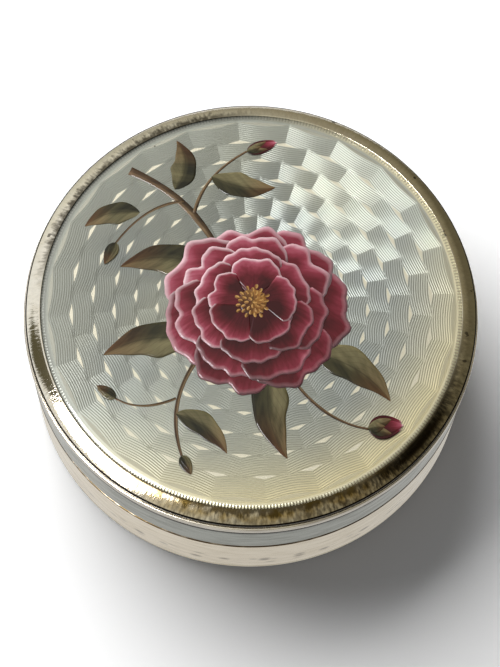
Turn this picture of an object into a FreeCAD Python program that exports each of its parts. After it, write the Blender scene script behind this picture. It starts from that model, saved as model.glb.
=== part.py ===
import FreeCAD, Part
import math
import os
import Sketcher

# Round silver-gilt pill box with a domed enamelled lid, in millimetres.
# It stands on the XY plane, +Z is up, and Z is the axis that every piece is turned about.

os.makedirs("parts", exist_ok=True)
doc = FreeCAD.newDocument("pill_box")

# Driving dimensions
# Heights of base pieces are measured from the table, heights of lid pieces from the lid's mouth.
driving_dimensions = [
    ("base_radius", 23.15, "outside of the base wall"),
    ("base_sheet", 0.60, "silver sheet of the base wall"),
    ("base_height", 8.25, "table to the top edge of the base wall"),
    ("base_bevel", 0.20, "broken outer edge at the top of the base wall"),
    ("foot_height", 0.55, "wire that the box stands on"),
    ("foot_width", 1.15, "radial width of that wire"),
    ("foot_bevel", 0.15, "its worn outer edge"),
    ("bottom_sheet", 0.55, "silver sheet of the bottom"),
    ("bottom_step", 0.25, "how far the middle of the bottom is spun up"),
    ("bottom_step_width", 1.30, "slope of that step"),
    ("collar_sheet", 0.42, "gilt sheet of the collar"),
    ("collar_root", 5.20, "lower edge of the collar"),
    ("collar_stand", 4.35, "how far the collar stands above the base wall"),
    ("collar_lead", 0.15, "lead-in on the collar's top edge"),
    ("seat_width", 0.35, "gilt wire in the joint that the lid rests on"),
    ("seat_height", 0.20, "its thickness, which is the joint left open"),
    ("fit_gap", 0.06, "radial running clearance of the lid on the collar"),
    ("lid_radius", 23.12, "outside of the lid wall"),
    ("lid_wall_height", 5.45, "mouth to the top of the lid wall"),
    ("mouth_bevel", 0.15, "broken edges of the lid's mouth"),
    ("quirk_height", 0.40, "groove turned under the bead"),
    ("quirk_depth", 0.17, "depth of that groove"),
    ("bead_height", 1.10, "half-round wire round the top of the lid"),
    ("bead_proud", 0.32, "how far the half-round wire stands off its seat"),
    ("bead_seat_radius", 22.90, "flat side of the half-round wire"),
    ("rim_radius", 23.00, "outer edge of the bevelled bezel"),
    ("rim_height", 7.19, "mouth to that edge"),
    ("bezel_rise", 0.79, "how far the bezel slopes up to its lip"),
    ("lip_radius", 21.44, "inside of the lip, where the enamel shows"),
    ("plaque_radius", 21.90, "plaque's flat edge, held under the lip"),
    ("dome_radius", 230.0, "sphere of the plaque's dome, about 1 mm high"),
    ("dome_height", 8.95, "mouth to the top of the enamel"),
    ("enamel_thickness", 0.30, "translucent enamel over the engraving"),
    ("plaque_sheet", 0.40, "engraved silver sheet"),
    ("counter_thickness", 0.20, "enamel on the plaque's back, against warping"),
    ("backing_top", 6.40, "mouth to the top of the gilt backing"),
    ("backing_sheet", 0.50, "gilt disc that closes the lid inside"),
    ("backing_radius", 22.20, "edge of that disc"),
    ("ring_height", 0.45, "ring that holds the backing in the bezel"),
    ("ring_width", 1.00, "radial width of that ring"),
]
sheet = doc.addObject("Spreadsheet::Sheet", "Size")
for row, (alias, value, note) in enumerate(driving_dimensions, 1):
    sheet.set(f"A{row}", alias)
    sheet.set(f"B{row}", str(value))
    sheet.setAlias(f"B{row}", alias)
    sheet.set(f"C{row}", note)
doc.recompute()

# The lid's mouth rests on the seat wire.
mouth_height = "Size.base_height + Size.seat_height"

# The enamel's crown is a true dome. The hidden layers stacked under it, and the bead, are turned
# in shallow bands with their corners on the true curve.
dome_bands = 3
bead_bands = 4


def origin_plane(body, role):
    return next(plane for plane in body.Origin.OriginFeatures if plane.Role == role)


def dome_arc(start, end):
    # Anticlockwise about the point of the Z axis that is as far from both ends.
    centre = FreeCAD.Vector(0, (end.dot(end) - start.dot(start)) / (2 * (end.y - start.y)), 0)
    circle = Part.Circle(centre, FreeCAD.Vector(0, 0, 1), start.distanceToPoint(centre))
    angles = [math.atan2(point.y - centre.y, point.x) for point in (start, end)]
    return Part.ArcOfCircle(circle, *angles)


def draw_outline(sketch, corners, dome_from=None):
    # Each corner is a pair of expressions in the sheet's names, its radius and its height.
    # A corner level or plumb with the one before is held by that constraint, the rest by a size.
    # The edge from corner dome_from to the next is an arc centred on the axis, the rest are straight.
    points = [[sketch.evalExpression(expression) for expression in corner] for corner in corners]
    count = len(corners)
    for index in range(count):
        start = FreeCAD.Vector(*points[index], 0)
        end = FreeCAD.Vector(*points[(index + 1) % count], 0)
        edge = dome_arc(start, end) if index == dome_from else Part.LineSegment(start, end)
        sketch.addGeometry(edge, False)
        if index == dome_from:
            sketch.addConstraint(Sketcher.Constraint("PointOnObject", index, 3, -2))
    for index in range(count):
        sketch.addConstraint(Sketcher.Constraint("Coincident", index, 2, (index + 1) % count, 1))
    sides = (("radius", "DistanceX", "Vertical", -2), ("height", "DistanceY", "Horizontal", -1))
    for index, corner in enumerate(corners):
        for part, (name, distance, square, axis) in enumerate(sides):
            if index > 0 and corner[part] == corners[index - 1][part]:
                sketch.addConstraint(Sketcher.Constraint(square, index - 1))
            elif corner[part] == "0":
                sketch.addConstraint(Sketcher.Constraint("PointOnObject", index, 1, axis))
            else:
                size = points[index][part]
                limit = sketch.addConstraint(Sketcher.Constraint(distance, -1, 1, index, 1, size))
                sketch.renameConstraint(limit, f"{name}_{index}")
                sketch.setExpression(f"Constraints.{name}_{index}", corner[part])


def turned_piece(label, corners, lift="0", dome_from=None):
    body = doc.addObject("PartDesign::Body", label)
    body.Label = label
    sketch = body.newObject("Sketcher::SketchObject", label + "_profile")
    sketch.AttachmentSupport = [(origin_plane(body, "XZ_Plane"), "")]
    sketch.MapMode = "FlatFace"
    draw_outline(sketch, corners, dome_from)
    turning = body.newObject("PartDesign::Revolution", label + "_turning")
    turning.Profile = sketch
    turning.ReferenceAxis = (sketch, ["V_Axis"])
    turning.Angle = 360
    sketch.Visibility = False
    body.Tip = turning
    body.setExpression("Placement.Base.z", lift)
    return body


# Base

def make_foot_wire():
    inner = "Size.base_radius - Size.foot_width"
    return turned_piece("foot_wire", [
        (inner, "0"),
        ("Size.base_radius - Size.foot_bevel", "0"),
        ("Size.base_radius", "Size.foot_bevel"),
        ("Size.base_radius", "Size.foot_height"),
        (inner, "Size.foot_height"),
    ])


def make_base_plate():
    # Lies on the foot wire inside the wall. Its middle is spun up, so that the box can't rock.
    edge = "Size.base_radius - Size.base_sheet"
    step = "Size.base_radius - Size.foot_width"
    middle = step + " - Size.bottom_step_width"
    under = "Size.foot_height"
    top = under + " + Size.bottom_sheet"
    return turned_piece("base_plate", [
        ("0", under + " + Size.bottom_step"),
        (middle, under + " + Size.bottom_step"),
        (step, under),
        (edge, under),
        (edge, top),
        (step, top),
        (middle, top + " + Size.bottom_step"),
        ("0", top + " + Size.bottom_step"),
    ])


def make_base_wall():
    inner = "Size.base_radius - Size.base_sheet"
    return turned_piece("base_wall", [
        (inner, "Size.foot_height"),
        ("Size.base_radius", "Size.foot_height"),
        ("Size.base_radius", "Size.base_height - Size.base_bevel"),
        ("Size.base_radius - Size.base_bevel", "Size.base_height"),
        (inner, "Size.base_height"),
    ])


def make_collar():
    # Stands up inside the lid, which slides over it with a running clearance.
    outer = "Size.base_radius - Size.base_sheet"
    inner = outer + " - Size.collar_sheet"
    top = "Size.base_height + Size.collar_stand"
    return turned_piece("collar", [
        (inner, "Size.collar_root"),
        (outer, "Size.collar_root"),
        (outer, top + " - 2 * Size.collar_lead"),
        (outer + " - Size.collar_lead", top),
        (inner, top),
    ])


def make_seat_wire():
    inner = "Size.base_radius - Size.base_sheet"
    outer = inner + " + Size.seat_width"
    return turned_piece("seat_wire", [
        (inner, "Size.base_height"),
        (outer, "Size.base_height"),
        (outer, mouth_height),
        (inner, mouth_height),
    ])


# Lid

def make_lid_wall():
    inner = "Size.base_radius - Size.base_sheet + Size.fit_gap"
    quirk = "Size.lid_radius - Size.quirk_depth"
    quirk_floor = "Size.lid_wall_height - Size.quirk_height"
    return turned_piece("lid_wall", [
        (inner + " + Size.mouth_bevel", "0"),
        ("Size.lid_radius - Size.mouth_bevel", "0"),
        ("Size.lid_radius", "Size.mouth_bevel"),
        ("Size.lid_radius", quirk_floor),
        (quirk, quirk_floor),
        (quirk, "Size.lid_wall_height"),
        (inner, "Size.lid_wall_height"),
        (inner, "Size.mouth_bevel"),
    ], mouth_height)


def bead_corners():
    # The round of the half-round wire follows from its height and how far it stands off.
    bead_round = "(Size.bead_height^2 / 4 + Size.bead_proud^2) / (2 * Size.bead_proud)"
    half_angle = "2 * atan(2 * Size.bead_proud / Size.bead_height)"
    middle = "Size.lid_wall_height + Size.bead_height / 2"
    centre = f"Size.bead_seat_radius + Size.bead_proud - {bead_round}"
    corners = [("Size.bead_seat_radius", "Size.lid_wall_height")]
    for band in range(1, bead_bands):
        angle = f"({half_angle}) * {2 * band - bead_bands} / {bead_bands}"
        corners.append((f"{centre} + {bead_round} * cos({angle})", f"{middle} + {bead_round} * sin({angle})"))
    corners.append(("Size.bead_seat_radius", "Size.lid_wall_height + Size.bead_height"))
    return corners


def make_bead_wire():
    return turned_piece("bead_wire", bead_corners(), mouth_height)


def dome_fall(radius):
    # How far the dome has fallen at this radius below its middle.
    return f"(Size.dome_radius - sqrt(Size.dome_radius^2 - ({radius})^2))"


def dome_corners(crown):
    # From the axis out to the lip, on the dome whose middle is at this height.
    corners = [("0", crown)]
    for band in range(1, dome_bands + 1):
        radius = f"Size.lip_radius * {band} / {dome_bands}"
        corners.append((radius, f"{crown} - {dome_fall(radius)}"))
    return corners


enamel_crown = "Size.dome_height"
plaque_crown = enamel_crown + " - Size.enamel_thickness"
counter_crown = plaque_crown + " - Size.plaque_sheet"
packing_crown = counter_crown + " - Size.counter_thickness"


def make_lid_bezel():
    # Bevelled frame: the plaque lies under its lip, the backing and its ring close it from inside.
    lip_top = "Size.rim_height + Size.bezel_rise"
    lip_under = f"{plaque_crown} - {dome_fall('Size.lip_radius')}"
    shoulder = "Size.lid_wall_height + Size.bead_height"
    return turned_piece("lid_bezel", [
        ("Size.backing_radius", "Size.lid_wall_height"),
        ("Size.bead_seat_radius", "Size.lid_wall_height"),
        ("Size.bead_seat_radius", shoulder),
        ("Size.rim_radius", shoulder),
        ("Size.rim_radius", "Size.rim_height"),
        ("Size.lip_radius", lip_top),
        ("Size.lip_radius", lip_under),
        ("Size.plaque_radius", lip_under),
        ("Size.plaque_radius", "Size.backing_top"),
        ("Size.backing_radius", "Size.backing_top"),
    ], mouth_height)


def make_enamel():
    under = dome_corners(plaque_crown)
    crown = [dome_corners(enamel_crown)[-1], ("0", enamel_crown)]
    return turned_piece("enamel", under + crown, mouth_height, dome_from=len(under))


def make_guilloche_plaque():
    # Domed inside the lip, with its edge pressed flat to lie under it.
    under = dome_corners(counter_crown)
    top = dome_corners(plaque_crown)
    flange = [("Size.plaque_radius", under[-1][1]), ("Size.plaque_radius", top[-1][1])]
    return turned_piece("guilloche_plaque", under + flange + top[::-1], mouth_height)


def make_counter_enamel():
    under = dome_corners(packing_crown)
    top = dome_corners(counter_crown)
    return turned_piece("counter_enamel", under + top[::-1], mouth_height)


def make_packing_disc():
    # Card packing that fills the hollow behind the plaque and presses its edge up to the lip.
    flange_height = dome_corners(counter_crown)[-1][1]
    bottom = [("0", "Size.backing_top"), ("Size.plaque_radius", "Size.backing_top")]
    flange = [("Size.plaque_radius", flange_height), ("Size.lip_radius", flange_height)]
    return turned_piece("packing_disc", bottom + flange + dome_corners(packing_crown)[::-1], mouth_height)


def make_lid_backing():
    under = "Size.backing_top - Size.backing_sheet"
    return turned_piece("lid_backing", [
        ("0", under),
        ("Size.backing_radius", under),
        ("Size.backing_radius", "Size.backing_top"),
        ("0", "Size.backing_top"),
    ], mouth_height)


def make_retaining_ring():
    top = "Size.backing_top - Size.backing_sheet"
    inner = "Size.backing_radius - Size.ring_width"
    return turned_piece("retaining_ring", [
        (inner, top + " - Size.ring_height"),
        ("Size.backing_radius", top + " - Size.ring_height"),
        ("Size.backing_radius", top),
        (inner, top),
    ], mouth_height)


pieces = [
    make_foot_wire(),
    make_base_plate(),
    make_base_wall(),
    make_collar(),
    make_seat_wire(),
    make_lid_wall(),
    make_bead_wire(),
    make_lid_bezel(),
    make_enamel(),
    make_guilloche_plaque(),
    make_counter_enamel(),
    make_packing_disc(),
    make_lid_backing(),
    make_retaining_ring(),
]
doc.recompute()

# Nothing is written unless every object came out sound.
failed = [item.Label for item in doc.Objects if "Invalid" in item.State or "Error" in item.State]
for piece in pieces:
    if piece.Shape.isNull() or not piece.Shape.isValid() or len(piece.Shape.Solids) != 1:
        failed.append(piece.Label)
if failed:
    raise RuntimeError("failed: " + ", ".join(failed))
for piece in pieces:
    piece.Shape.exportStep(f"parts/{piece.Label}.step")
    box = piece.Shape.BoundBox
    print(f"{piece.Label}: {piece.Shape.Volume:.1f} mm3, height {box.ZMin:.3f} to {box.ZMax:.3f}")
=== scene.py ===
# Round silver box with a slip-on lid, engine turned and enamelled, with a painted flower spray
import math
import random

import bmesh
import bpy
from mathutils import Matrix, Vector


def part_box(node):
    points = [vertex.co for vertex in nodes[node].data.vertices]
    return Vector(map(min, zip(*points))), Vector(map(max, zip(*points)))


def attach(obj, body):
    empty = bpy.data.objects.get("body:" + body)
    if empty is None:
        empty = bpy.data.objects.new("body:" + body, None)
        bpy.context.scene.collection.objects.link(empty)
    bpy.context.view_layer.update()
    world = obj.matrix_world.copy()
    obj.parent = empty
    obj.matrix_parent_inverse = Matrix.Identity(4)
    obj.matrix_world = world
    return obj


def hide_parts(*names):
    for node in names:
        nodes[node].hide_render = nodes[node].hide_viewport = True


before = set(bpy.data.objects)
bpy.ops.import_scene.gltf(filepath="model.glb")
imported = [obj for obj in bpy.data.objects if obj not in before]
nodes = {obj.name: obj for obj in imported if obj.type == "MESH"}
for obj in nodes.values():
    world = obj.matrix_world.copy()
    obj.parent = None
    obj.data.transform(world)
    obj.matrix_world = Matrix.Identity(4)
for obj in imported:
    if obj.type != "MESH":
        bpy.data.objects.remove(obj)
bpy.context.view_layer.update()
print("frame loaded:", len(nodes), "CAD nodes")


def hexColour(code, alpha=1.0):
    # sRGB hex to the linear colour that Blender works in
    channels = [int(code[i:i + 2], 16) / 255 for i in (1, 3, 5)]
    return [c / 12.92 if c < 0.04045 else ((c + 0.055) / 1.055) ** 2.4 for c in channels] + [alpha]


def feed(tree, node, inputs):
    # a node or socket among the inputs is linked, a value is set
    for key, value in inputs.items() if isinstance(inputs, dict) else enumerate(inputs):
        if isinstance(value, bpy.types.Node):
            value = next(o for o in value.outputs if o.enabled)
        if isinstance(value, bpy.types.NodeSocket):
            tree.links.new(value, node.inputs[key])
        else:
            node.inputs[key].default_value = value


def addNode(tree, kind, inputs=(), stops=(), **settings):
    # one shader node with its settings, links and colour stops
    made = tree.nodes.new("ShaderNode" + kind)
    for key, value in settings.items():
        setattr(made, key, value)
    feed(tree, made, inputs)
    for at, (place, code) in enumerate(stops):
        stop = made.color_ramp.elements[at] if at < 2 else made.color_ramp.elements.new(place)
        stop.position = place
        stop.color = hexColour(code)
    return made


def newMaterial(name):
    material = bpy.data.materials.new(name)
    material.use_nodes = True
    tree = material.node_tree
    return material, tree, tree.nodes["Principled BSDF"]


def millimetres(tree):
    # the piece's own coordinates in millimetres
    place = addNode(tree, "TexCoord").outputs["Object"]
    return addNode(tree, "VectorMath", {0: place, "Scale": 1000.0}, operation="SCALE")


def polar(tree, place):
    # radius, angle, outward direction and height of a point, round the box's axis
    split = addNode(tree, "SeparateXYZ", [place])
    flat = addNode(tree, "CombineXYZ", [split.outputs[0], split.outputs[1], 0.0])
    radius = addNode(tree, "VectorMath", [flat], operation="LENGTH").outputs["Value"]
    angle = addNode(tree, "Math", [split.outputs[1], split.outputs[0]], operation="ARCTAN2")
    outward = addNode(tree, "VectorMath", [flat], operation="NORMALIZE")
    return radius, angle, outward, split.outputs[2]


def finishPiece(bm, name, material, body, stands=()):
    # a smooth mesh that rides a body; stands names the CAD nodes that it takes the place of
    mesh = bpy.data.meshes.new(name)
    for face in bm.faces:
        face.smooth = True
    bm.to_mesh(mesh)
    bm.free()
    piece = bpy.data.objects.new(name, mesh)
    bpy.context.scene.collection.objects.link(piece)
    mesh.materials.append(material)
    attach(piece, body)
    if stands:
        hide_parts(*stands)
    print("made", name, len(mesh.polygons), "faces")
    return piece


# Camera, floor and light

cameraRig = {
    "distance": 0.2039,      # metres from the middle of the rim
    "elevation": 68.645,     # degrees above the table
    "tilt": 0.736,           # degrees further down than at the rim's middle
    "roll": 3.164,           # degrees
    "focal": 107.95,         # mm on a 36 mm film, long side
    "rimHeight": 0.01564,    # metres above the table
    "near": 0.01,            # metres, nothing closer is drawn
}

camera = bpy.data.objects.new("camera", bpy.data.cameras.new("camera"))
bpy.context.scene.collection.objects.link(camera)
elevation = math.radians(cameraRig["elevation"])
camera.location = (
    0,
    -cameraRig["distance"] * math.cos(elevation),
    cameraRig["distance"] * math.sin(elevation) + cameraRig["rimHeight"],
)
camera.rotation_mode = "ZYX"
camera.rotation_euler = (
    math.radians(90 - cameraRig["elevation"] - cameraRig["tilt"]),
    0,
    math.radians(cameraRig["roll"]),
)
camera.data.lens = cameraRig["focal"]
camera.data.clip_start = cameraRig["near"]
bpy.context.scene.camera = camera
bpy.context.scene.view_settings.view_transform = "Standard"

lamps = {
    # name: azimuth and elevation in degrees, distance and size in metres, watts, colour
    "key": (133, 40, 0.5, 0.5, 3.65, "#ffffff"),          # lights the matt surfaces and throws the shadow
    "window": (209, 50.5, 0.5, 0.25, 4.4, "#ffffff"),     # the bright pane that the metal mirrors
}


def mirrorRay(tree):
    # the light path, 1 where nothing matt lies between here and the eye, and 1 where metal shows this
    # to the eye
    ray = addNode(tree, "LightPath")
    seen = addNode(tree, "Math", [ray.outputs["Diffuse Depth"], 0.5], operation="LESS_THAN")
    inMetal = addNode(tree, "Math", [ray.outputs["Is Glossy Ray"], seen], operation="MULTIPLY")
    return ray, seen, inMetal


def towards(azimuth, height):
    a, e = math.radians(azimuth), math.radians(height)
    return Vector((math.cos(a) * math.cos(e), math.sin(a) * math.cos(e), math.sin(e)))


for lampName, (azimuth, height, distance, size, watts, colour) in lamps.items():
    lamp = bpy.data.objects.new(lampName, bpy.data.lights.new(lampName, "AREA"))
    bpy.context.scene.collection.objects.link(lamp)
    lamp.location = towards(azimuth, height) * distance
    lamp.rotation_mode = "QUATERNION"
    lamp.rotation_quaternion = lamp.location.to_track_quat("Z", "Y")
    lamp.data.size = size
    lamp.data.energy = watts
    lamp.data.color = hexColour(colour)[:3]
    lamp.visible_glossy = lampName == "window"
    lamp.visible_diffuse = lampName == "key"
    if lampName == "window":
        # seen in the metal, but not thrown by it onto the paper
        lamp.data.use_nodes = True
        tree = lamp.data.node_tree
        _, seen, _ = mirrorRay(tree)
        feed(tree, tree.nodes["Emission"], {"Strength": seen})

room = {
    "ambient": 0.12,                     # what fills the shadows
    "brightSide": (-0.8, 0.0, 0.6),      # the side of the room that is lightest in the metal
    "shades": [                          # from the opposite side to that one
        (0.33, "#655e49"), (0.41, "#877f68"), (0.56, "#a19b88"), (0.70, "#c1beb0"),
        (0.79, "#dedcd0"), (0.86, "#f2f0e7"), (0.92, "#ffffff"), (0.97, "#ffffff"),
    ],
    "cards": [
        # dark cards in the metal: azimuth, elevation, half width and soft edge in degrees, colour
        (346, 46, 9, 9, "#120d04"),
        (175, 42, 9, 2, "#5f5a45"),
        (172, 31, 8, 2, "#5f5a45"),
    ],
}

world = bpy.data.worlds.new("studio")
bpy.context.scene.world = world
world.use_nodes = True
tree = world.node_tree
background = tree.nodes["Background"]
ray, _, inMetal = mirrorRay(tree)
direction = addNode(tree, "TexCoord").outputs["Generated"]
side = addNode(tree, "VectorMath", [direction, room["brightSide"]], operation="DOT_PRODUCT")
side = addNode(tree, "Math", [side.outputs["Value"], 0.5, 0.5], operation="MULTIPLY_ADD")
seen = addNode(tree, "ValToRGB", [side], stops=room["shades"]).outputs[0]
for azimuth, height, half, soft, colour in room["cards"]:
    near = addNode(tree, "VectorMath", [direction, towards(azimuth, height)], operation="DOT_PRODUCT")
    outside, inside = math.cos(math.radians(half + soft)), math.cos(math.radians(half))
    card = addNode(tree, "MapRange", [near.outputs["Value"], outside, inside, 0.0, 1.0])
    seen = addNode(tree, "Mix", {0: card, 6: seen, 7: hexColour(colour)}, data_type="RGBA")
dim = [room["ambient"]] * 3 + [1]
mirrored = addNode(tree, "Mix", {0: inMetal, 6: dim, 7: seen}, data_type="RGBA")
shown = addNode(tree, "Mix", {0: ray.outputs["Is Camera Ray"], 6: mirrored, 7: (1, 1, 1, 1)},
                data_type="RGBA")
feed(tree, background, {"Color": shown})

table = {
    "reach": 3.0,                        # metres from the middle to each side
    "colour": "#e6e4e0",
    "seenAs": (1.35, 1.35, 1.35, 1),     # bleached white, for the camera alone
    "inMetal": 0.70,                     # how much the mirrored paper glows
    "besideMetal": 0.25,                 # share of the paper that the metal throws onto the shaded paper
}

bm = bmesh.new()
bmesh.ops.create_grid(bm, x_segments=1, y_segments=1, size=table["reach"])
floorMesh = bpy.data.meshes.new("floor")
bm.to_mesh(floorMesh)
bm.free()
floor = bpy.data.objects.new("floor", floorMesh)
bpy.context.scene.collection.objects.link(floor)
paper, tree, shader = newMaterial("matt_white_paper")
tree.nodes.remove(shader)
ray, _, inMetal = mirrorRay(tree)
paperColour = addNode(
    tree, "Mix",
    {0: ray.outputs["Is Camera Ray"], 6: hexColour(table["colour"]), 7: table["seenAs"]}, data_type="RGBA")
# the lit paper that the metal throws onto the shaded paper is held back, as the camera sees paper lighter
# than it is
beyond = addNode(tree, "Math", [ray.outputs["Is Glossy Ray"], inMetal], operation="SUBTRACT")
held = addNode(tree, "Math", [beyond, table["besideMetal"] - 1, 1.0], operation="MULTIPLY_ADD")
paperColour = addNode(tree, "VectorMath", {0: paperColour, "Scale": held}, operation="SCALE")
matt = addNode(tree, "BsdfDiffuse", [paperColour])
glow = addNode(tree, "Emission", [hexColour(table["colour"]), 1.0])
bright = addNode(tree, "Math", [inMetal, table["inMetal"]], operation="MULTIPLY")
surface = addNode(tree, "MixShader", [bright, matt, glow])
feed(tree, tree.nodes["Material Output"], {"Surface": surface})
floorMesh.materials.append(paper)
print("camera, light and table set")


# Engine turning, seen through the enamel: rows of parallel waved lines that alternate like a basket

turning = {
    "lobes": 24,
    "outer": 20.67,          # mm, where the first row starts
    "pitch": 2.17,           # mm from row to row
    "wave": 0.39,            # mm, depth of each lobe
    "phase": 14.4,           # degrees, where the first lobe bulges inward
    "lines": 9,              # cuts per row, 0.24 mm apart
    "flank": 0.34,           # slope of a cut's sides
    "lean": 0.19,            # the tool leans, so the inner flank is the broader
    "centre": 1.1,           # mm, bare middle
    "ticks": 414,            # teeth of the milled border
    "tickSlope": 0.20,
    "border": 21.06,         # mm, inner radius of the milled border
}


def engineTurning(tree, place):
    # returns the slope of the cut surface, the direction across the cuts, how lit each flank is,
    # a mask of the bare lenses, the teeth of the milled border, and the radius
    half = turning["lobes"] / 2
    radius, angle, outward, _ = polar(tree, place)
    sideways = addNode(tree, "VectorMath", [(0, 0, 1), outward], operation="CROSS_PRODUCT")
    cutArea = addNode(tree, "Math", [radius, turning["centre"]], operation="GREATER_THAN")
    slopes, masks, crosses, ridges = [], [], [], []
    for family in (0, 1):
        start = -half * math.radians(turning["phase"]) + family * math.pi / 2
        turn = addNode(tree, "Math", [angle, half, start], operation="MULTIPLY_ADD")
        cosine = addNode(tree, "Math", [turn], operation="COSINE")
        sine = addNode(tree, "Math", [turn], operation="SINE")
        sign = addNode(tree, "Math", [cosine], operation="SIGN")
        lobe = addNode(tree, "Math", [cosine], operation="ABSOLUTE")
        level = addNode(tree, "Math", [lobe, turning["wave"], radius], operation="MULTIPLY_ADD")
        step = -1 / turning["pitch"]
        row = addNode(tree, "Math", [level, step, -turning["outer"] * step], operation="MULTIPLY_ADD")
        number = addNode(tree, "Math", [row], operation="FLOOR")
        odd = addNode(tree, "Math", [number, 2.0], operation="FLOORED_MODULO")
        mine = addNode(tree, "Math", [odd, float(family), 0.5], operation="COMPARE")
        inside = addNode(tree, "Math", [row, 0.0], operation="GREATER_THAN")
        mask = addNode(tree, "Math", [mine, inside], operation="MULTIPLY")
        mask = addNode(tree, "Math", [mask, cutArea], operation="MULTIPLY")
        swing = addNode(tree, "Math", [sine, sign], operation="MULTIPLY")
        swing = addNode(tree, "Math", [swing, radius], operation="DIVIDE")
        swing = addNode(tree, "Math", [swing, -half * turning["wave"]], operation="MULTIPLY")
        aside = addNode(tree, "VectorMath", {0: sideways, "Scale": swing}, operation="SCALE")
        across = addNode(tree, "VectorMath", [outward, aside], operation="ADD")
        across = addNode(tree, "VectorMath", [across], operation="NORMALIZE")
        cut = addNode(tree, "Math", [row, 2 * math.pi * turning["lines"]], operation="MULTIPLY")
        cut = addNode(tree, "Math", [cut], operation="COSINE")
        ridges.append(addNode(tree, "Math", [cut, mask], operation="MULTIPLY"))
        cut = addNode(tree, "Math", [cut, turning["flank"], turning["lean"]], operation="MULTIPLY_ADD")
        cut = addNode(tree, "Math", [cut, mask], operation="MULTIPLY")
        slopes.append(addNode(tree, "VectorMath", {0: across, "Scale": cut}, operation="SCALE"))
        masks.append(mask)
        crosses.append(across)
    slope = addNode(tree, "VectorMath", slopes, operation="ADD")
    ridge = addNode(tree, "Math", ridges, operation="ADD")
    across = addNode(tree, "Mix", {0: masks[1], 4: crosses[0], 5: crosses[1]}, data_type="VECTOR")
    engraved = addNode(tree, "Math", masks, operation="MAXIMUM")
    within = addNode(tree, "Math", [radius, turning["outer"]], operation="LESS_THAN")
    lens = addNode(tree, "Math", [within, engraved], operation="SUBTRACT")
    lens = addNode(tree, "Math", [lens, cutArea], operation="MULTIPLY", use_clamp=True)
    tick = addNode(tree, "Math", [angle, float(turning["ticks"])], operation="MULTIPLY")
    tick = addNode(tree, "Math", [tick], operation="SINE")
    border = addNode(tree, "Math", [radius, turning["border"]], operation="GREATER_THAN")
    teeth = addNode(tree, "Math", [tick, border], operation="MULTIPLY")
    milled = addNode(tree, "Math", [teeth, turning["tickSlope"]], operation="MULTIPLY")
    milled = addNode(tree, "VectorMath", {0: sideways, "Scale": milled}, operation="SCALE")
    slope = addNode(tree, "VectorMath", [slope, milled], operation="ADD")
    return slope, across, ridge, lens, teeth, radius


def leaning(tree, slope):
    # the surface normal, leant over by a slope in the plane of the lid
    upright = addNode(tree, "NewGeometry").outputs["Normal"]
    turned = addNode(tree, "VectorTransform", [slope], vector_type="VECTOR",
                     convert_from="OBJECT", convert_to="WORLD")
    tilted = addNode(tree, "VectorMath", [upright, turned], operation="SUBTRACT")
    return addNode(tree, "VectorMath", [tilted], operation="NORMALIZE")


enamelLook = {
    "deep": [(0.35, "#8a8f8b"), (0.65, "#9fa194")],      # milky clouds
    "cloud": 0.09,                       # per mm, so the clouds are some 11 mm across
    "rimTintAndReflection": ("#a3a69c", "#d8cca0"),      # towards the rim, at the back left, and at the front right as a painted warm reflection
    "rimTintFrom": (12.5, 20.9),            # mm from the middle
    "frontRight": (0.57, -0.82, 0.0),
    "cuts": 0.17,                        # how much lighter the top of a cut is
    "hem": ("#83857d", "#fff6d2"),       # milled border, away from the lamp and towards it
    "hemFrom": (20.8, 21.0),             # mm
    "lampSide": (0.90, -0.43, 0.0),
    "teeth": 0.30,
    "lens": "#f7f1da",
    "lensFades": (19.2, 20.4),           # mm, where the bare lenses grow duller
    "speck": "#3c3a30",                  # tiny pits in the glass, 4.5 mm apart
    "specks": 0.22,
    "speckSize": 0.018,
    "roughness": (0.40, 0.18),           # over the cuts and over the bare lenses
}


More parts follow.
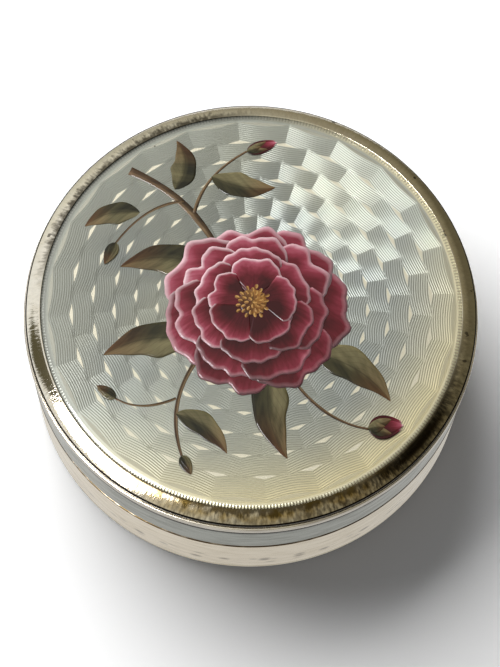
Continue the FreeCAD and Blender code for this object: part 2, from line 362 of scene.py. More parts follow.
def pearlEnamel():
    # translucent vitreous enamel fired over engine-turned silver, stoned flat and flash fired:
    # a clear gloss on top, and under it silver whose cuts catch the light cell by cell
    material, tree, shader = newMaterial("vitreous_enamel_over_engine_turning")
    place = millimetres(tree)
    slope, across, ridge, lens, teeth, radius = engineTurning(tree, place)
    look = enamelLook
    cloud = addNode(tree, "TexNoise", {"Vector": place, "Scale": look["cloud"], "Detail": 2.0})
    milky = addNode(tree, "ValToRGB", [cloud.outputs["Fac"]], stops=look["deep"])
    # towards the front right the enamel is painted a warm cream, a painted reflection; towards the rim it
    # is paler, where the enamel is thinner
    near = addNode(tree, "VectorMath", [place, look["frontRight"]], operation="DOT_PRODUCT")
    near = addNode(tree, "MapRange", [near.outputs["Value"], 1.0, 20.0, 0.0, 1.0])
    far, close = [hexColour(code) for code in look["rimTintAndReflection"]]
    rimTintAndReflection = addNode(tree, "Mix", {0: near, 6: far, 7: close}, data_type="RGBA")
    edge = addNode(tree, "MapRange", [radius, *look["rimTintFrom"], 0.0, 1.0])
    edge = addNode(tree, "Math", [edge, 1.6], operation="POWER")
    deep = addNode(tree, "Mix", {0: edge, 6: milky, 7: rimTintAndReflection}, data_type="RGBA")
    # lighter over the top of each cut, where the enamel is thinner, and darker in the grooves as painted
    # shade
    light = addNode(tree, "Math", [ridge, look["cuts"], 1.0], operation="MULTIPLY_ADD")
    fluted = addNode(tree, "VectorMath", {0: deep, "Scale": light}, operation="SCALE")
    # the milled border is thinly covered, with a painted highlight on the right, dull on the left, and its
    # teeth painted light and dark
    lit = addNode(tree, "VectorMath", [place, look["lampSide"]], operation="DOT_PRODUCT")
    lit = addNode(tree, "MapRange", [lit.outputs["Value"], -10.0, 15.0, 0.0, 1.0])
    dull, bright = [hexColour(code) for code in look["hem"]]
    hemmed = addNode(tree, "Mix", {0: lit, 6: dull, 7: bright}, data_type="RGBA")
    bitten = addNode(tree, "Math", [teeth, look["teeth"], 1.0], operation="MULTIPLY_ADD")
    hemmed = addNode(tree, "VectorMath", {0: hemmed, "Scale": bitten}, operation="SCALE")
    hem = addNode(tree, "MapRange", [radius, *look["hemFrom"], 0.0, 1.0])
    fluted = addNode(tree, "Mix", {0: hem, 6: fluted, 7: hemmed}, data_type="RGBA")
    # the bare lenses between the rows: bare silver painted near white as a painted glint, duller towards
    # the rim
    inner = addNode(tree, "MapRange", [radius, *look["lensFades"], 1.0, 0.25])
    bare = addNode(tree, "Math", [lens, inner], operation="MULTIPLY")
    pool = addNode(tree, "Mix", {0: bare, 6: fluted, 7: hexColour(look["lens"])}, data_type="RGBA")
    pits = addNode(tree, "TexVoronoi", {"Vector": place, "Scale": look["specks"], "Randomness": 1.0})
    dot = addNode(tree, "Math", [pits.outputs["Distance"], look["speckSize"]], operation="LESS_THAN")
    spotted = addNode(tree, "Mix", {0: dot, 6: pool, 7: hexColour(look["speck"])}, data_type="RGBA")
    overCuts, overLenses = look["roughness"]
    gloss = addNode(tree, "Mix", {0: lens, 2: overCuts, 3: overLenses})
    turned = addNode(tree, "VectorTransform", [across], vector_type="VECTOR",
                     convert_from="OBJECT", convert_to="WORLD")
    feed(tree, shader, {
        "Base Color": spotted, "Roughness": gloss, "Normal": leaning(tree, slope), "Tangent": turned,
        "Metallic": 0.47, "Anisotropic": 0.5, "Coat Weight": 1.0, "Coat Roughness": 0.03, "Coat IOR": 1.5,
    })
    return material


def between(tree, value, low, high, soft):
    # 1 where a value lies from low to high, falling to 0 over a soft edge
    above = addNode(tree, "MapRange", [value, low - soft, low, 0.0, 1.0])
    below = addNode(tree, "MapRange", [value, high, high + soft, 1.0, 0.0])
    return addNode(tree, "Math", [above, below], operation="MULTIPLY")


silverLook = {
    "patches": (0.3, 0.3, 1.6),          # per mm: dull patches lie along the turning
    "spots": (0.55, 0.55, 0.9),          # per mm: dark spots some 2 mm apart
    "spotSize": (0.16, 0.44),
    "spot": "#665b4c",
    "spotSide": (0.15, -1.0, 0.0),       # the spots are on the front
    "lines": 6.0,                        # per mm, coarser than real turning lines so that they show
    "dents": 0.25,                       # per mm
    "bump": 0.0002,                      # metres
    "gilt": "#d8b062",
}


def turnedSilver(name, metal, tarnish, roughness=0.2, wear=0.5, grain=0.05, tarnishAndShadeBands=(), darkSpots=(),
                 giltWithin=None, giltAbove=None):
    # silver raised and turned on a lathe, then polished by hand: faint turning lines, soft dents and dull
    # patches; the dark bands and dark spots are heights in millimetres, from and to, where tarnish with
    # painted shade of some colour, or dark spots of some strength, lie, and the box is gilt inside: within
    # a radius, or above a height
    material, tree, shader = newMaterial(name)
    place = millimetres(tree)
    radius, angle, outward, height = polar(tree, place)
    look = silverLook
    rubbed = addNode(tree, "VectorMath", [place, look["patches"]], operation="MULTIPLY")
    patches = addNode(tree, "TexNoise", {"Vector": rubbed, "Scale": 1.0, "Detail": 7.0})
    worn = addNode(tree, "MapRange", [patches.outputs["Fac"], 0.40, 0.72, 0.0, wear])
    colour = addNode(tree, "Mix", {0: worn, 6: hexColour(metal), 7: hexColour(tarnish)}, data_type="RGBA")
    # rows of dark spots on the front, between two heights
    for low, high, strength in darkSpots:
        squeezed = addNode(tree, "VectorMath", [place, look["spots"]], operation="MULTIPLY")
        marks = addNode(tree, "TexVoronoi", {"Vector": squeezed, "Scale": 1.0, "Randomness": 0.9})
        marks = addNode(tree, "MapRange", [marks.outputs["Distance"], *look["spotSize"], strength, 0.0])
        front = addNode(tree, "VectorMath", [outward, look["spotSide"]], operation="DOT_PRODUCT")
        front = addNode(tree, "MapRange", [front.outputs["Value"], 0.45, 0.85, 0.0, 1.0])
        row = addNode(tree, "Math", [between(tree, height, low, high, 0.6), front], operation="MULTIPLY")
        row = addNode(tree, "Math", [row, marks], operation="MULTIPLY")
        colour = addNode(tree, "Mix", {0: row, 6: colour, 7: hexColour(look["spot"])}, data_type="RGBA")
    # dark bands at the joints: tarnish, with painted shade under the overhanging bead and in the seam
    for low, high, bandColour in tarnishAndShadeBands:
        glints = addNode(tree, "TexNoise", {"Vector": place, "Scale": 0.9, "Detail": 4.0})
        tarnishAndShadeMask = addNode(tree, "MapRange", [glints.outputs["Fac"], 0.5, 0.7, 1.0, 0.7])
        tarnishAndShadeMask = addNode(tree, "Math", [tarnishAndShadeMask, between(tree, height, low, high, 0.03)], operation="MULTIPLY")
        colour = addNode(tree, "Mix", {0: tarnishAndShadeMask, 6: colour, 7: hexColour(bandColour)}, data_type="RGBA")
    limits = ((radius, giltWithin, "LESS_THAN"), (height, giltAbove, "GREATER_THAN"))
    for measure, limit, operation in limits:
        if limit is not None:
            gilt = addNode(tree, "Math", [measure, limit], operation=operation)
            colour = addNode(tree, "Mix", {0: gilt, 6: colour, 7: hexColour(look["gilt"])},
                             data_type="RGBA")
    dull = addNode(tree, "Math", [worn, 0.25, roughness], operation="MULTIPLY_ADD")
    level = addNode(tree, "Math", [height, radius], operation="ADD")
    level = addNode(tree, "Math", [level, look["lines"]], operation="MULTIPLY")
    stretched = addNode(tree, "VectorMath", {0: outward, "Scale": level}, operation="SCALE")
    lines = addNode(tree, "TexNoise", {"Vector": stretched, "Scale": 1.0, "Detail": 4.0})
    dents = addNode(tree, "TexNoise", {"Vector": place, "Scale": look["dents"], "Detail": 1.0})
    relief = addNode(tree, "Math", [lines.outputs["Fac"], grain, dents.outputs["Fac"]],
                     operation="MULTIPLY_ADD")
    bump = addNode(tree, "Bump", {"Strength": 0.25, "Distance": look["bump"], "Height": relief})
    feed(tree, shader, {"Base Color": colour, "Roughness": dull, "Normal": bump, "Metallic": 1.0})
    return material


patinaLook = {
    "metal": ("#ebe7da", "#b0934c"),     # bare silver and gilding
    "tarnish": "#2e2514",
    "upright": "#120d07",                # the side above the bead: tarnish with painted shade
    "sides": [                           # direction, and where it starts and is full, as cosines
        ((0.05, -1.0, 0.0), 0.3, 0.95), ((0.79, -0.61, 0.0), 0.75, 0.98), ((-0.71, 0.71, 0.0), 0.70, 0.88),
    ],
    "streaksRound": 22.0,                # so many times finer round the rim than across it
    "streaks": 2.0,
    "blotches": 0.8,                     # per mm
    "pits": 0.5,                         # per mm
    "bump": 0.00006,                     # metres
}


def gildedPatina(inner, outer, sideTop):
    # silver-gilt bezel, the gilding rubbed, the recess along the enamel dark with tarnish and the upright
    # side dark with tarnish and painted shade; inner and outer are its radii and sideTop the height of that
    # side, in millimetres
    material, tree, shader = newMaterial("rubbed_silver_gilt")
    place = millimetres(tree)
    radius, angle, outward, height = polar(tree, place)
    look = patinaLook
    width = addNode(tree, "MapRange", [radius, inner, outer, 0.0, 1.0])
    aroundRim = addNode(tree, "VectorMath", {0: outward, "Scale": look["streaksRound"]}, operation="SCALE")
    slow = addNode(tree, "VectorMath", {0: place, "Scale": 0.7}, operation="SCALE")
    streaked = addNode(tree, "VectorMath", [aroundRim, slow], operation="ADD")
    streaks = addNode(tree, "TexNoise",
                      {"Vector": streaked, "Scale": look["streaks"], "Detail": 6.0, "Roughness": 0.5})
    blotch = addNode(tree, "TexNoise", {"Vector": place, "Scale": look["blotches"], "Detail": 5.0})
    # how far each point is towards the front, the worn right and the back left, from 0 to 1
    sides = []
    for facing, start, full in look["sides"]:
        turned = addNode(tree, "VectorMath", [outward, facing], operation="DOT_PRODUCT")
        sides.append(addNode(tree, "MapRange", [turned.outputs["Value"], start, full, 0.0, 1.0]))
    front, right, back = sides
    rubbed = addNode(tree, "MapRange", [blotch.outputs["Fac"], 0.35, 0.62, 0.45, 1.0])
    gold = addNode(tree, "Math", [front, 0.8, 0.2], operation="MULTIPLY_ADD")
    gold = addNode(tree, "Math", [gold, rubbed], operation="MULTIPLY")
    kept = addNode(tree, "MapRange", [width, 0.45, 0.95, 1.0, 0.45])
    gold = addNode(tree, "Math", [gold, kept], operation="MULTIPLY")
    bare, gilt = [hexColour(code) for code in look["metal"]]
    metal = addNode(tree, "Mix", {0: gold, 6: bare, 7: gilt}, data_type="RGBA")
    ragged = addNode(tree, "Math", [streaks.outputs["Fac"], -1.1, width], operation="MULTIPLY_ADD")
    ragged = addNode(tree, "Math", [blotch.outputs["Fac"], -0.8, ragged], operation="MULTIPLY_ADD")
    ragged = addNode(tree, "Math", [front, -0.16, ragged], operation="MULTIPLY_ADD")
    lining = addNode(tree, "MapRange", [ragged, -0.84, -0.42, 1.0, 0.0])
    shaded = addNode(tree, "Math", [front, right], operation="MAXIMUM")
    shaded = addNode(tree, "Math", [shaded, back], operation="MAXIMUM")
    inset = addNode(tree, "Math", [lining, shaded], operation="MULTIPLY")
    inset = addNode(tree, "Math", [inset, 0.86], operation="MULTIPLY")
    stain = addNode(tree, "MapRange", [streaks.outputs["Fac"], 0.36, 0.64, 0.0, 1.0])
    spread = addNode(tree, "Math", [right, 0.42, 0.08], operation="MULTIPLY_ADD")
    spread = addNode(tree, "Math", [front, 0.5, spread], operation="MULTIPLY_ADD")
    stain = addNode(tree, "Math", [stain, spread], operation="MULTIPLY")
    dark = addNode(tree, "Math", [stain, inset], operation="MAXIMUM")
    pits = addNode(tree, "TexVoronoi", {"Vector": place, "Scale": look["pits"], "Randomness": 1.0})
    ate = addNode(tree, "Math", [streaks.outputs["Fac"], 0.4], operation="MULTIPLY")
    pitted = addNode(tree, "Math", [pits.outputs["Distance"], ate], operation="SUBTRACT")
    pitted = addNode(tree, "MapRange", [pitted, -0.10, -0.06, 0.75, 0.0])
    dark = addNode(tree, "Math", [dark, pitted], operation="MAXIMUM")
    # the upright side above the bead is painted near black: tarnish, with painted shade
    upright = between(tree, height, sideTop - 0.55, sideTop, 0.02)
    dark = addNode(tree, "Math", [dark, upright], operation="MAXIMUM")
    colour = addNode(tree, "Mix", {0: dark, 6: metal, 7: hexColour(look["tarnish"])}, data_type="RGBA")
    colour = addNode(tree, "Mix", {0: upright, 6: colour, 7: hexColour(look["upright"])}, data_type="RGBA")
    dull = addNode(tree, "Math", [dark, 0.13, 0.07], operation="MULTIPLY_ADD")
    bump = addNode(tree, "Bump",
                   {"Strength": 0.25, "Distance": look["bump"], "Height": streaks.outputs["Fac"]})
    feed(tree, shader, {"Base Color": colour, "Roughness": dull, "Normal": bump, "Metallic": 1.0})
    return material


# Rings, each turned from its section, (radius, height) points in millimetres, with its edges eased

def spun(section, turns, closed=True):
    # the section turned full circle; one that starts and ends on the axis isn't closed
    bm = bmesh.new()
    corners = [bm.verts.new((r / 1000, 0, z / 1000)) for r, z in section]
    following = corners[1:] + corners[:1] if closed else corners[1:]
    edges = [bm.edges.new(pair) for pair in zip(corners, following)]
    bmesh.ops.spin(bm, geom=corners + edges, cent=(0, 0, 0), axis=(0, 0, 1), angle=2 * math.pi,
                   steps=turns, use_merge=True, use_duplicate=False)
    bmesh.ops.remove_doubles(bm, verts=bm.verts, dist=1e-7)
    bmesh.ops.recalc_face_normals(bm, faces=bm.faces)
    return bm


def turnedRing(name, section, material, body, stands, ease=0.05, turns=256, rounds=3):
    # ease is the width of the rounded edges in millimetres, rounds the number of facets on them
    bm = spun(section, turns)
    sharp = [e for e in bm.edges if len(e.link_faces) == 2 and e.calc_face_angle() > 0.3]
    bmesh.ops.bevel(bm, geom=sharp, offset=ease / 1000, offset_type="OFFSET", affect="EDGES",
                    segments=rounds, profile=0.5, material=-1, clamp_overlap=True)
    piece = finishPiece(bm, name, material, body, stands)
    even = piece.modifiers.new("even_shading", "WEIGHTED_NORMAL")
    even.keep_sharp = False
    return piece


def edgesOf(node):
    # outer radius, lowest and highest point of a node, in millimetres
    low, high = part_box(node)
    return max(high.x, high.y) * 1000, low.z * 1000, high.z * 1000


footOut, footLow, footHigh = edgesOf("foot_wire")
wallOut, wallLow, wallHigh = edgesOf("base_wall")
collarOut, collarLow, collarHigh = edgesOf("collar")
seatOut, seatLow, seatHigh = edgesOf("seat_wire")
lidOut, lidLow, lidHigh = edgesOf("lid_wall")
beadOut, beadLow, beadHigh = edgesOf("bead_wire")
bezelOut, bezelLow, bezelHigh = edgesOf("lid_bezel")
enamelOut, _, enamelHigh = edgesOf("enamel")

sheet = {"base": 0.60, "collar": 0.42, "lid": 0.51, "footWidth": 1.15}     # mm thick, and wide
quirk = {"height": 0.40, "depth": 0.17}                                    # mm, groove under the bead
# dark bands of tarnish with painted shade at the joints: below and above the seam, and under the
# overhanging bead
shadeAndTarnishReach = {"aboveSeam": 0.20, "belowSeam": 0.15, "underBead": 0.38}      # mm from each joint
baseSilver = turnedSilver("polished_silver_base", "#f6ebd6", "#d6c9ae", 0.14, 0.55,
                          tarnishAndShadeBands=[(wallHigh - shadeAndTarnishReach["belowSeam"], wallHigh, "#4f3d1f")],
                          darkSpots=[(2.2, 3.4, 0.7)], giltWithin=wallOut - 0.3)
footSilver = turnedSilver("polished_silver_foot", "#ded6c2", "#b9ac8b", 0.12, 0.4)
lidSilver = turnedSilver("dulled_silver_lid", "#9ba09a", "#6f726b", 0.16, 0.6,
                         tarnishAndShadeBands=[(lidHigh - quirk["height"] - shadeAndTarnishReach["underBead"], lidHigh, "#1d1d15"),
                                   (lidLow, lidLow + shadeAndTarnishReach["aboveSeam"], "#1d150b")],
                         giltWithin=lidOut - 0.25)
beadSilver = turnedSilver("polished_silver_bead", "#dcd6ca", "#968f83", 0.18, 0.6)
gilding = turnedSilver("fire_gilding", "#dcb45e", "#b08a45", 0.2, 0.4)
# the seat ring deep in the seam is painted dark: tarnished gilding with painted shade over its whole face
shadedSeatGilding = turnedSilver("tarnished_and_shaded_gilding", "#c79a45", "#3a2b14", 0.25, 1.0,
                           tarnishAndShadeBands=[(seatLow, seatHigh, "#1d150b")])

turnedRing("base_foot", [(footOut - sheet["footWidth"], footLow), (footOut, footLow), (footOut, footHigh),
                         (footOut - sheet["footWidth"], footHigh)],
           footSilver, "base", ["foot_wire"], 0.15)
turnedRing("base_band", [(wallOut - sheet["base"], wallLow), (wallOut, wallLow), (wallOut, wallHigh),
                         (wallOut - sheet["base"], wallHigh)],
           baseSilver, "base", ["base_wall"], 0.12)
turnedRing("inner_collar", [(collarOut - sheet["collar"], collarLow), (collarOut, collarLow),
                            (collarOut, collarHigh), (collarOut - sheet["collar"], collarHigh)],
           gilding, "base", ["collar"], 0.12)
turnedRing("seat_ring", [(collarOut, seatLow), (seatOut, seatLow), (seatOut, seatHigh),
                         (collarOut, seatHigh)],
           shadedSeatGilding, "base", ["seat_wire"], 0.05)

lidInside = lidOut - sheet["lid"]
turnedRing("lid_band", [(lidInside, lidLow), (lidOut, lidLow), (lidOut, lidHigh - quirk["height"]),
                        (lidOut - quirk["depth"], lidHigh - quirk["height"]),
                        (lidOut - quirk["depth"], lidHigh), (lidInside, lidHigh)],
           lidSilver, "lid", ["lid_wall"], 0.08)

bead = {"seat": 22.90, "round": 0.30, "facets": 6}                         # mm
turnedRing("lid_bead", [(bead["seat"], beadLow), (beadOut, beadLow), (beadOut, beadHigh),
                        (bead["seat"], beadHigh)],
           beadSilver, "lid", ["bead_wire"], bead["round"], rounds=bead["facets"])

bezel = {
    "edge": 0.79,            # mm, how far the outer edge lies below the inner one
    "lip": 0.33,             # mm thick over the enamel
    "rebate": 21.90, "inside": 22.20, "step": 22.90,      # radii, mm
    "seat": 14.85,           # height of the rebate, mm
    "crown": 0.07,           # mm, how far the slope bows out
    "facets": 8,
    "sideTop": 0.08,         # mm, how far the dark side reaches onto the slope
}


def bevelCrown(share):
    # a point on the rim's slope, share 0 at the outer edge and 1 at the enamel, bowed out by the crown
    run, rise = enamelOut - bezelOut, bezel["edge"]
    bow = bezel["crown"] * math.sin(math.pi * share)
    length = math.hypot(run, rise)
    return bezelOut + run * share + bow * rise / length, bezelHigh - rise * (1 - share) - bow * run / length


turnedRing("lid_rim", [(bezel["step"], bezelLow), (bezel["step"], beadHigh), (bezelOut, beadHigh),
                       *[bevelCrown(i / bezel["facets"]) for i in range(bezel["facets"] + 1)],
                       (enamelOut, bezelHigh - bezel["lip"]), (bezel["rebate"], bezelHigh - bezel["lip"]),
                       (bezel["rebate"], bezel["seat"]), (bezel["inside"], bezel["seat"]),
                       (bezel["inside"], bezelLow)],
           gildedPatina(enamelOut, bezelOut, bezelHigh - bezel["edge"] + bezel["sideTop"]),
           "lid", ["lid_bezel"], 0.07)
print("rings turned")


# The enamel: a shallow dome, a little under the crown so that the painting has room on it

enamel = {
    "sphere": 230.0,         # mm, radius of the dome
    "paint": 0.10,           # mm left for the painting
    "thickness": 0.30,       # mm
    "rings": 40, "turns": 192,
}


def domeHeight(x, y):
    # height of the enamel in millimetres over a point of the plan
    return enamelHigh - enamel["paint"] - (x * x + y * y) / (2 * enamel["sphere"])


def enamelDome(material):
    radii = [enamelOut * i / enamel["rings"] for i in range(enamel["rings"] + 1)]
    top = [(r, domeHeight(r, 0)) for r in radii]
    under = [(r, z - enamel["thickness"]) for r, z in reversed(top)]
    bm = spun(top + under, enamel["turns"], closed=False)
    return finishPiece(bm, "enamel_dome", material, "lid", ["enamel"])


pearl = pearlEnamel()
enamelDome(pearl)
print("enamel fired")

# The painted spray: overglaze colours on the enamel, patch over patch

paint = {"step": 0.0025, "film": 0.002}      # mm from layer to layer, and how thick each patch is
paintGloss = {"Specular IOR Level": 0.05, "Coat Weight": 0.6, "Coat Roughness": 0.05}      # fired glossy
layersUsed = {"next": 1}


def newPainting():
    bm = bmesh.new()
    bm.loops.layers.uv.new("brush")
    bm.verts.layers.float.new("tone")
    return bm


def addPatch(bm, outline, across, along, tone=0.5, layer=None):
    # a grid laid on the dome: outline takes t from -1 to 1 across and s from 0 to 1 along, and gives a
    # point of the plan in millimetres
    if layer is None:
        layer = layersUsed["next"]
        layersUsed["next"] += 1
    lift = layer * paint["step"]
    toneLayer = bm.verts.layers.float["tone"]
    brushLayer = bm.loops.layers.uv["brush"]
    grid = bmesh.ops.create_grid(bm, x_segments=across, y_segments=along, size=1.0)
    for face in {f for corner in grid["verts"] for f in corner.link_faces}:
        for loop in face.loops:
            loop[brushLayer].uv = (loop.vert.co.xy + Vector((1, 1))) / 2
    for corner in grid["verts"]:
        x, y = outline(corner.co.x, (corner.co.y + 1) / 2)
        corner.co = Vector((x, y, domeHeight(x, y) + lift)) / 1000
        corner[toneLayer] = tone


def finishPainting(bm, name, material):
    bmesh.ops.recalc_face_normals(bm, faces=bm.faces)
    for face in bm.faces:
        if face.normal.z < 0:
            face.normal_flip()
    piece = finishPiece(bm, name, material, "lid")
    film = piece.modifiers.new("film", "SOLIDIFY")
    film.thickness = paint["film"] / 1000
    film.offset = -1
    piece.modifiers.new("even_shading", "WEIGHTED_NORMAL")
    return piece


def curvePoint(points, s):
    # a point and the direction to its left, on the quadratic or cubic curve that the points steer
    row = [Vector(p) for p in points]
    while len(row) > 2:
        row = [a.lerp(b, s) for a, b in zip(row, row[1:])]
    here = row[0].lerp(row[1], s)
    ahead = (row[1] - row[0]).normalized()
    return here, Vector((-ahead.y, ahead.x))


petalLook = {
    "ramp": [(0.0, "#3a0a10"), (0.28, "#641823"), (0.5, "#8c3040"), (0.7, "#b35668"),
             (0.86, "#d48f9c"), (1.0, "#f0d2d6")],
    "lip": "#f6dfe2",
    "strokes": (14.0, 1.6, 1.0),         # brush strokes across and along a petal
    "roughness": 0.45,
}


def petalPaint():
    # painted enamel petals, brushed from a crimson ground to almost white lips
    material, tree, shader = newMaterial("painted_enamel_petals")
    place = millimetres(tree)
    brushed = addNode(tree, "UVMap", uv_map="brush")
    tone = addNode(tree, "Attribute", attribute_name="tone").outputs["Fac"]
    split = addNode(tree, "SeparateXYZ", [brushed])
    strokes = addNode(tree, "VectorMath", [brushed, petalLook["strokes"]], operation="MULTIPLY")
    strokes = addNode(tree, "VectorMath", {0: strokes, 1: place}, operation="ADD")
    strokes = addNode(tree, "TexNoise", {"Vector": strokes, "Scale": 1.1, "Detail": 5.0})
    wander = addNode(tree, "TexNoise", {"Vector": place, "Scale": 0.45, "Detail": 2.0})
    reach = addNode(tree, "MapRange", [split.outputs[1], 0.55, 1.0, 0.0, 0.66])
    under = addNode(tree, "MapRange", [split.outputs[0], 0.0, 0.5, -0.34, 0.0])
    reach = addNode(tree, "Math", [reach, under], operation="ADD")
    reach = addNode(tree, "Math", [strokes.outputs["Fac"], 0.40, reach], operation="MULTIPLY_ADD")
    reach = addNode(tree, "Math", [wander.outputs["Fac"], 0.40, reach], operation="MULTIPLY_ADD")
    reach = addNode(tree, "Math", [tone, 0.60, reach], operation="MULTIPLY_ADD")
    reach = addNode(tree, "Math", [reach, 0.66], operation="SUBTRACT")
    colours = addNode(tree, "ValToRGB", [reach], stops=petalLook["ramp"])
    lip = addNode(tree, "MapRange", [split.outputs[1], 0.92, 0.99, 0.0, 0.85])
    lip = addNode(tree, "Math", [lip, tone], operation="MULTIPLY")
    edged = addNode(tree, "Mix", {0: lip, 6: colours, 7: hexColour(petalLook["lip"])}, data_type="RGBA")
    feed(tree, shader, {"Base Color": edged, "Roughness": petalLook["roughness"], **paintGloss})
    return material


leafLook = {"veins": 7, "vein": "#2a2418", "strokes": (3.0, 5.0, 1.0), "roughness": 0.5}


def leafPaint(name, ground, middle, light, tip):
    # painted enamel leaf: a dark side and a lit side of the rib, warmer to the tip, with scratched veins
    material, tree, shader = newMaterial(name)
    place = millimetres(tree)
    brushed = addNode(tree, "UVMap", uv_map="brush")
    tone = addNode(tree, "Attribute", attribute_name="tone").outputs["Fac"]
    split = addNode(tree, "SeparateXYZ", [brushed])
    strokes = addNode(tree, "VectorMath", [brushed, leafLook["strokes"]], operation="MULTIPLY")
    strokes = addNode(tree, "VectorMath", {0: strokes, 1: place}, operation="ADD")
    strokes = addNode(tree, "TexNoise", {"Vector": strokes, "Scale": 0.8, "Detail": 5.0})
    lit = addNode(tree, "MapRange", [split.outputs[0], 0.35, 0.65, 0.0, 0.55])
    lit = addNode(tree, "Math", [strokes.outputs["Fac"], 0.9, lit], operation="MULTIPLY_ADD")
    lit = addNode(tree, "Math", [tone, 0.5, lit], operation="MULTIPLY_ADD")
    lit = addNode(tree, "Math", [lit, 0.45], operation="SUBTRACT")
    colours = addNode(tree, "ValToRGB", [lit], stops=[(0.1, ground), (0.5, middle), (0.95, light)])
    warm = addNode(tree, "MapRange", [split.outputs[1], 0.45, 1.0, 0.0, 0.8])
    warm = addNode(tree, "Math", [warm, strokes.outputs["Fac"]], operation="MULTIPLY")
    tipped = addNode(tree, "Mix", {0: warm, 6: colours, 7: hexColour(tip)}, data_type="RGBA")
    off = addNode(tree, "Math", [split.outputs[0], 0.5], operation="SUBTRACT")
    off = addNode(tree, "Math", [off], operation="ABSOLUTE")
    rib = addNode(tree, "MapRange", [off, 0.0, 0.035, 0.55, 0.0])
    slant = addNode(tree, "Math", [off, -0.9, split.outputs[1]], operation="MULTIPLY_ADD")
    slant = addNode(tree, "Math", [slant, 2 * math.pi * leafLook["veins"]], operation="MULTIPLY")
    slant = addNode(tree, "Math", [slant], operation="SINE")
    veins = addNode(tree, "MapRange", [slant, 0.9, 1.0, 0.0, 0.28])
    marks = addNode(tree, "Math", [rib, veins], operation="MAXIMUM")
    veined = addNode(tree, "Mix", {0: marks, 6: tipped, 7: hexColour(leafLook["vein"])}, data_type="RGBA")
    feed(tree, shader, {"Base Color": veined, "Roughness": leafLook["roughness"], **paintGloss})
    return material


oliveLeaf = leafPaint("painted_enamel_leaves", "#1c1b0e", "#47432a", "#857c58", "#7c4620")
brownStem = leafPaint("painted_enamel_stems", "#2b2015", "#584229", "#8a7253", "#5e4432")

# stems: steering points in plan millimetres, width at the start and end
stems = [
    ([(-2.5, 3.5), (-5.5, 9.0), (-8.2, 12.0), (-13.4, 14.2)], 0.55, 0.95),
    ([(-6.4, 9.6), (-6.0, 12.6), (-4.2, 15.2), (-1.2, 17.2)], 0.38, 0.22),
    ([(-7.6, 10.9), (-10.6, 10.4), (-12.6, 8.6), (-14.4, 5.6)], 0.34, 0.18),
    ([(3.4, -6.0), (5.0, -9.6), (8.6, -12.4), (12.4, -12.6)], 0.42, 0.24),
    ([(-4.5, -5.5), (-7.0, -9.0), (-7.6, -12.6), (-6.0, -16.6)], 0.50, 0.30),
    ([(-7.0, -10.6), (-9.4, -11.8), (-11.4, -11.8), (-13.2, -10.8)], 0.28, 0.18),
]


def stemPatch(points, start, end):
    def outline(t, s):
        here, left = curvePoint(points, s)
        width = (start + (end - start) * s) * (1 + 0.10 * math.sin(9 * s + points[0][0]))
        return here + left * (t * width / 2)
    return outline


bm = newPainting()
for at, (points, start, end) in enumerate(stems):
    addPatch(bm, stemPatch(points, start, end), 4, 36, 0.45 + 0.1 * (at % 3), layer=1 + at)
layersUsed["next"] = 1 + len(stems)
finishPainting(bm, "painted_stems", brownStem)

# leaves: foot, bend and tip in plan millimetres, half width, and tone
leaves = [
    ((-8.6, 12.2), (-6.6, 15.2), (-8.8, 18.0), 1.55, 0.3),
    ((-4.9, 13.9), (-1.4, 12.2), (1.8, 13.0), 1.65, 0.55),
    ((-12.0, 9.4), (-15.4, 9.9), (-17.6, 7.6), 1.45, 0.45),
    ((-4.6, 3.4), (-9.2, 5.6), (-13.6, 3.2), 2.05, 0.35),
    ((-5.6, -4.6), (-10.2, -3.4), (-14.6, -6.4), 2.20, 0.5),
    ((2.6, -6.2), (1.0, -11.6), (4.4, -16.2), 2.15, 0.4),
    ((6.4, -5.2), (11.2, -5.6), (14.4, -9.6), 2.05, 0.6),
    ((-6.9, -12.2), (-3.4, -13.0), (-1.6, -16.0), 1.40, 0.5),
]


def leafPatch(foot, bend, tip, half):
    def outline(t, s):
        here, left = curvePoint([foot, bend, tip], s)
        swell = math.sin(math.pi * s ** 0.85) ** 0.85 * (1 - 0.35 * s)
        ripple = 1 + 0.06 * math.sin(15 * s + 2 * t)
        return here + left * (t * half * swell * ripple * (1.1 if t > 0 else 0.9))
    return outline


bm = newPainting()
for foot, bend, tip, half, tone in leaves:
    addPatch(bm, leafPatch(foot, bend, tip, half), 12, 28, tone, layersUsed["next"])
layersUsed["next"] += 1
finishPainting(bm, "painted_leaves", oliveLeaf)

# the open double bloom: tiers of petals from the widest in, over one another, round a boss of stamens
bloom = {
    "centre": (0.4, -0.6),               # mm, in plan
    "light": (-0.62, 0.78),              # petals that face this way are paler
    "seed": 11,
    "tiers": [                           # petals, length in mm, half spread in degrees, tone, mm off centre
        (7, 9.3, 36, 0.40, (0.0, 0.0)),
        (7, 7.9, 34, 0.50, (-0.1, 0.2)),
        (6, 6.3, 38, 0.54, (-0.2, 0.4)),
        (5, 4.7, 42, 0.62, (-0.3, 0.6)),
    ],
    "stamens": 34,
    "boss": 1.75,                        # mm, radius that the stamens fill
    "anther": 0.17,                      # mm, half width
}
chance = random.Random(bloom["seed"])


def petalPatch(middle, angle, inner, outer, spread, dent, wave):
    # a petal from inner to outer radius, dented at the middle of its lip and wavy along it
    def outline(t, s):
        rim = outer * (1 - 0.20 * abs(t) ** 3.0 - dent * math.exp(-(t / 0.16) ** 2)
                       + 0.022 * math.sin(7 * t + wave) + 0.012 * math.sin(17 * t + 2 * wave))
        reach = inner + (rim - inner) * s
        turn = angle + t * spread * (0.62 + 0.38 * math.sin(s * math.pi / 2))
        return middle + reach * Vector((math.cos(turn), math.sin(turn)))
    return outline


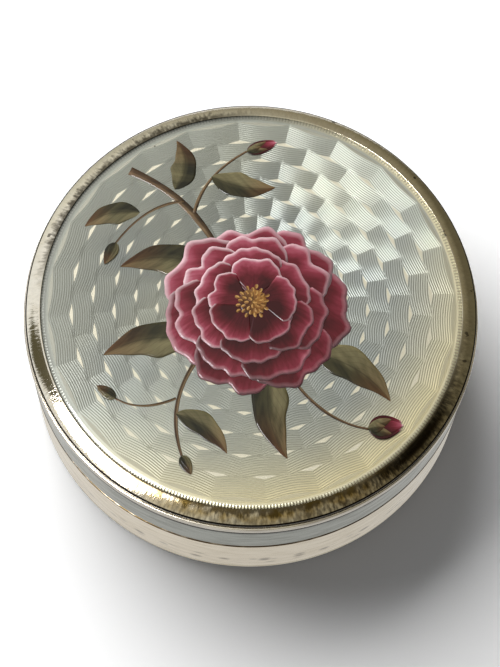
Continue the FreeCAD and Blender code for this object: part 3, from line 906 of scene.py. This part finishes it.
bm = newPainting()
for tier, (count, outer, spread, tierTone, aside) in enumerate(bloom["tiers"]):
    middle = Vector(bloom["centre"]) + Vector(aside)
    for at in range(count):
        angle = 2 * math.pi * (at + 0.5 * (tier % 2)) / count + math.radians(chance.uniform(-6, 6))
        angle += 0.3 * tier
        facing = Vector((math.cos(angle), math.sin(angle))).dot(Vector(bloom["light"]))
        tone = tierTone + 0.22 * facing + chance.uniform(-0.05, 0.05)
        length = outer * (1 + chance.uniform(-0.05, 0.05))
        addPatch(bm, petalPatch(middle, angle, outer * 0.12, length, math.radians(spread),
                                chance.uniform(0.02, 0.09), chance.uniform(0, 6)), 26, 22, tone)
petals = petalPaint()
finishPainting(bm, "painted_bloom", petals)


def dotPatch(x, y, size, stretch, angle):
    # an oval dot, stretched along its own length
    def outline(t, s):
        along = 2 * s - 1
        dx = t * math.sqrt(max(0, 1 - along ** 2)) * size
        dy = along * size * stretch
        return (x + dx * math.cos(angle) - dy * math.sin(angle),
                y + dx * math.sin(angle) + dy * math.cos(angle))
    return outline


bm = newPainting()
heart = Vector(bloom["centre"]) + Vector(bloom["tiers"][-1][4])
addPatch(bm, dotPatch(heart.x, heart.y, bloom["boss"] * 0.8, 1.0, 0), 10, 14, 0.0)
for at in range(bloom["stamens"]):
    share = math.sqrt((at + 0.5) / bloom["stamens"])
    angle = at * 2.39996                 # the golden angle spreads them evenly
    spot = heart + bloom["boss"] * share * Vector((math.cos(angle), math.sin(angle)))
    addPatch(bm, dotPatch(spot.x, spot.y, bloom["anther"], 1.5, angle - math.pi / 2), 6, 8,
             chance.uniform(0.4, 1.0), layersUsed["next"])
layersUsed["next"] += 1
ochre = leafPaint("painted_enamel_stamens", "#4a2414", "#94622c", "#cfa35c", "#c08a45")
finishPainting(bm, "painted_stamens", ochre)

# buds: foot and tip in plan millimetres, half width, how far it has opened
buds = [((-1.4, 17.0), (1.6, 18.3), 0.85, 1), ((12.2, -12.6), (15.6, -12.0), 1.35, 1),
        ((-14.2, 5.9), (-15.2, 3.4), 0.7, 0), ((-13.0, -10.9), (-15.0, -9.6), 0.6, 0),
        ((-6.1, -16.4), (-5.0, -18.3), 0.6, 0)]


def budPatch(foot, tip, half, lean, longer):
    # one petal or sepal of a bud, leaning to its left or right
    foot, tip = Vector(foot), Vector(tip)
    ahead = tip - foot
    left = Vector((-ahead.y, ahead.x)).normalized()

    def outline(t, s):
        swell = math.sin(math.pi * s ** 0.75) ** 0.8
        return foot + ahead * (s * longer) + left * half * (t * swell + lean * s)
    return outline


green, pink = newPainting(), newPainting()
for foot, tip, half, opened in buds:
    if opened:
        layer = layersUsed["next"]
        furled = ((0.35, 0.25, 1.0, 0.8), (-0.35, 0.35, 0.96, 0.8), (0.0, 0.75, 1.05, 0.6))
        for lean, tone, longer, width in furled:
            addPatch(pink, budPatch(foot, tip, half * width, lean, longer), 12, 16, tone)
        for lean, longer in ((0.9, 0.72), (-0.9, 0.66), (0.1, 0.5)):
            addPatch(green, budPatch(foot, tip, half * 0.42, lean * 1.4, longer), 8, 14, 0.45)
        layersUsed["next"] = layer
    else:
        for lean, longer, width in ((0.0, 1.0, 1.0), (0.25, 0.8, 0.5)):
            addPatch(green, budPatch(foot, tip, half * width, lean, longer), 8, 14, 0.4, layersUsed["next"])
finishPainting(green, "painted_sepals", oliveLeaf)
finishPainting(pink, "painted_buds", petals)
print("spray painted in", layersUsed["next"], "layers")


def plainMaterial(name, light, dark, scale, roughness, coat):
    # something neither metal nor painted, clouded or flecked from light to dark
    material, tree, shader = newMaterial(name)
    flecks = addNode(tree, "TexNoise", {"Vector": millimetres(tree), "Scale": scale, "Detail": 5.0})
    colours = addNode(tree, "ValToRGB", [flecks.outputs["Fac"]], stops=[(0.35, dark), (0.65, light)])
    feed(tree, shader, {"Base Color": colours, "Roughness": roughness, "Coat Weight": coat})
    return material


_, plateLow, plateHigh = edgesOf("base_plate")
for node, material in {
    "base_plate": turnedSilver("satin_silver_bottom", "#d9d4c8", "#a8a294", 0.3, 0.5, 0.4,
                               giltAbove=(plateLow + plateHigh) / 2),
    "lid_backing": gilding, "retaining_ring": gilding, "guilloche_plaque": pearl,
    "counter_enamel": plainMaterial("plain_counter_enamel", "#8b9796", "#6c7877", 0.9, 0.12, 1.0),
    "packing_disc": plainMaterial("pressed_card", "#a98f68", "#7f6847", 2.5, 0.9, 0.0),
}.items():
    nodes[node].data.materials.clear()
    nodes[node].data.materials.append(material)
